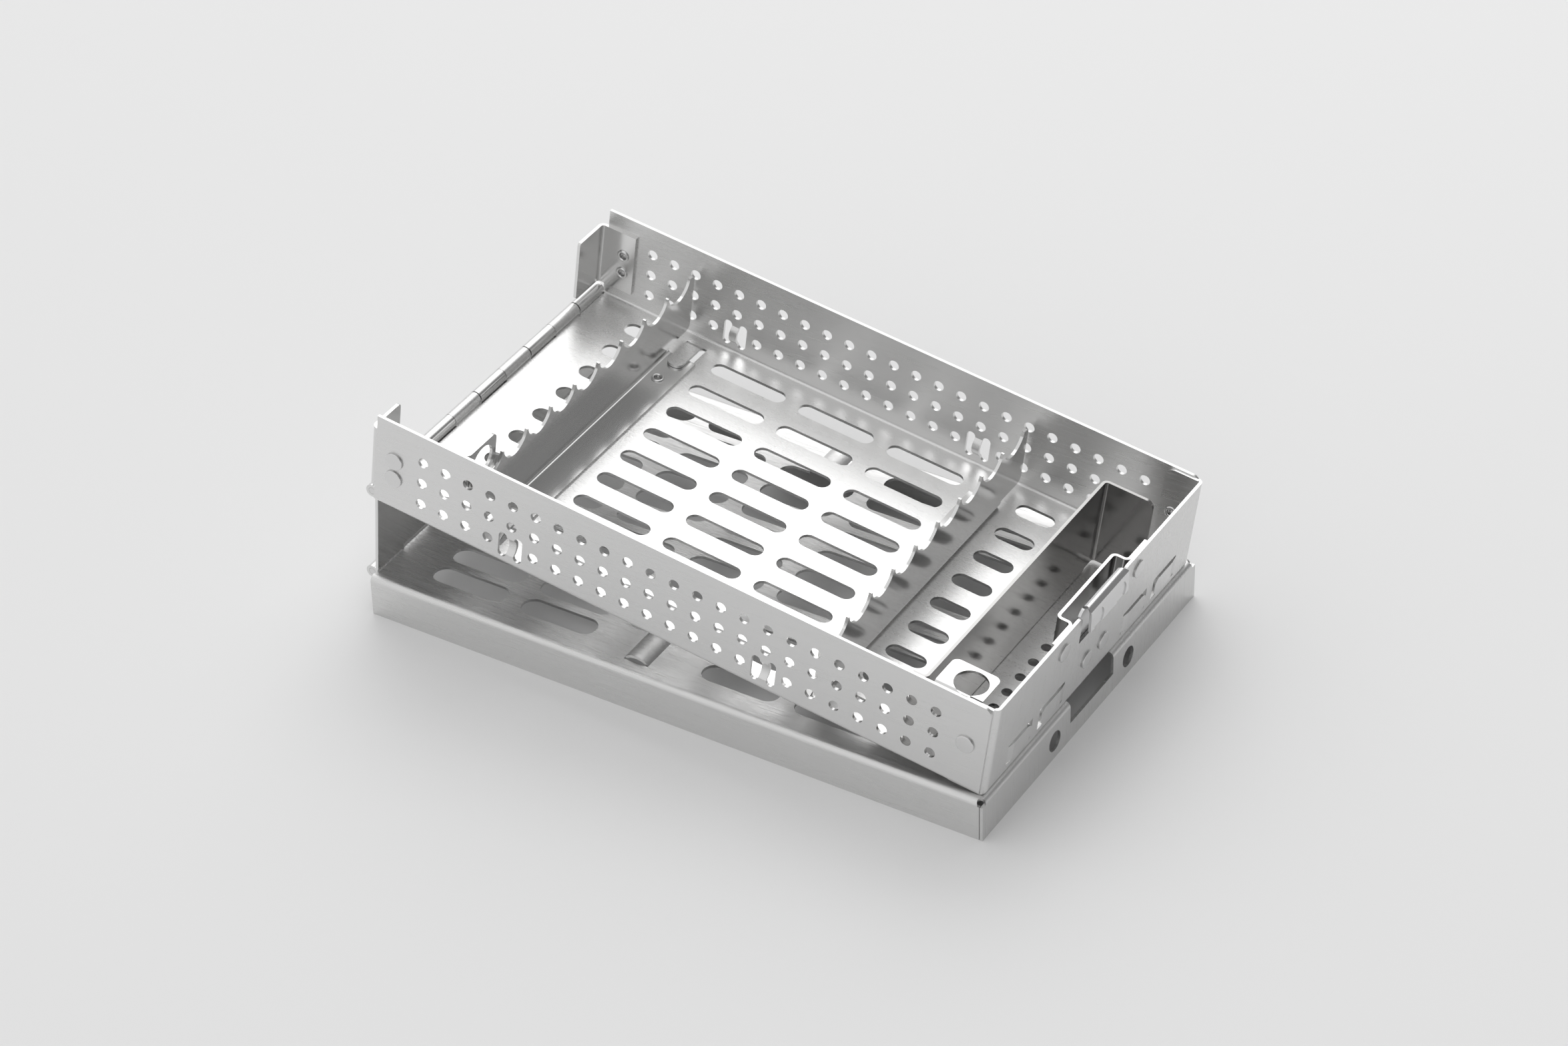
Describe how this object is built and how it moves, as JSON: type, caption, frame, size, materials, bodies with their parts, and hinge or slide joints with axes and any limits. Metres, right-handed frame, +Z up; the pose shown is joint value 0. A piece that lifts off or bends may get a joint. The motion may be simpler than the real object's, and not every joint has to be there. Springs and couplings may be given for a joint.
{
  "type": "dental instrument cassette",
  "caption": "Sheet-steel instrument cassette: perforated tray with two scalloped racks and a small bin, a hinged spine and slotted lid folded under it, and a snap latch.",
  "frame": {"origin": "middle of the open object's footprint on the table, z = 0 at the lid's rim", "axes": "+X from the hinges to the latch end, +Y from the near wall to the far wall, +Z up. The rest pose is the open pose: lid upside down, spine standing up from its hinge, tray tilted with its far end resting on the lid's panel."},
  "size_m": [0.2081, 0.1232, 0.0707],
  "materials": {
    "sheet_steel": "satin stainless sheet, quite reflective",
    "spring_steel": "smoother satin spring stainless",
    "rivet_steel": "turned stainless, fairly bright"
  },
  "bodies": {
    "lid": {"lid_shell": "sheet_steel", "lid_hinge_pin": "rivet_steel"},
    "spine": {"spine_plate": "sheet_steel"},
    "tray": {"tray_shell": "sheet_steel", "tray_hinge_pin": "rivet_steel", "near_corner_bracket": "sheet_steel", "far_corner_bracket": "sheet_steel", "near_bracket_rivets": "rivet_steel", "far_bracket_rivets": "rivet_steel", "tab_rivets": "rivet_steel", "left_rack": "sheet_steel", "right_rack": "sheet_steel", "left_rack_rivets": "rivet_steel", "right_rack_rivets": "rivet_steel", "bin_partition": "sheet_steel", "side_ring_lug": "sheet_steel", "top_ring_lug": "sheet_steel", "latch_guard": "sheet_steel", "guard_rivets": "rivet_steel", "latch_foot": "spring_steel", "latch_rivets": "rivet_steel"},
    "latch": {"latch_arm": "spring_steel"}
  },
  "joints": [
    {"name": "lid_hinge", "type": "hinge", "parent": "lid", "child": "spine", "pos_m": [-0.10205, 0, 0.0125], "axis": [0, -1, 0], "range_deg": [0, 184.8]},
    {"name": "tray_hinge", "type": "hinge", "parent": "spine", "child": "tray", "pos_m": [-0.09957, 0, 0.042], "axis": [0, -1, 0], "range_deg": [0, 182.95]},
    {"name": "latch_press", "type": "hinge", "parent": "tray", "child": "latch", "pos_m": [0.09853, 0, 0.02713], "axis": [0, -1, 0], "range_deg": [0, 11], "stiffness_Nm_per_rad": 1}
  ]
}
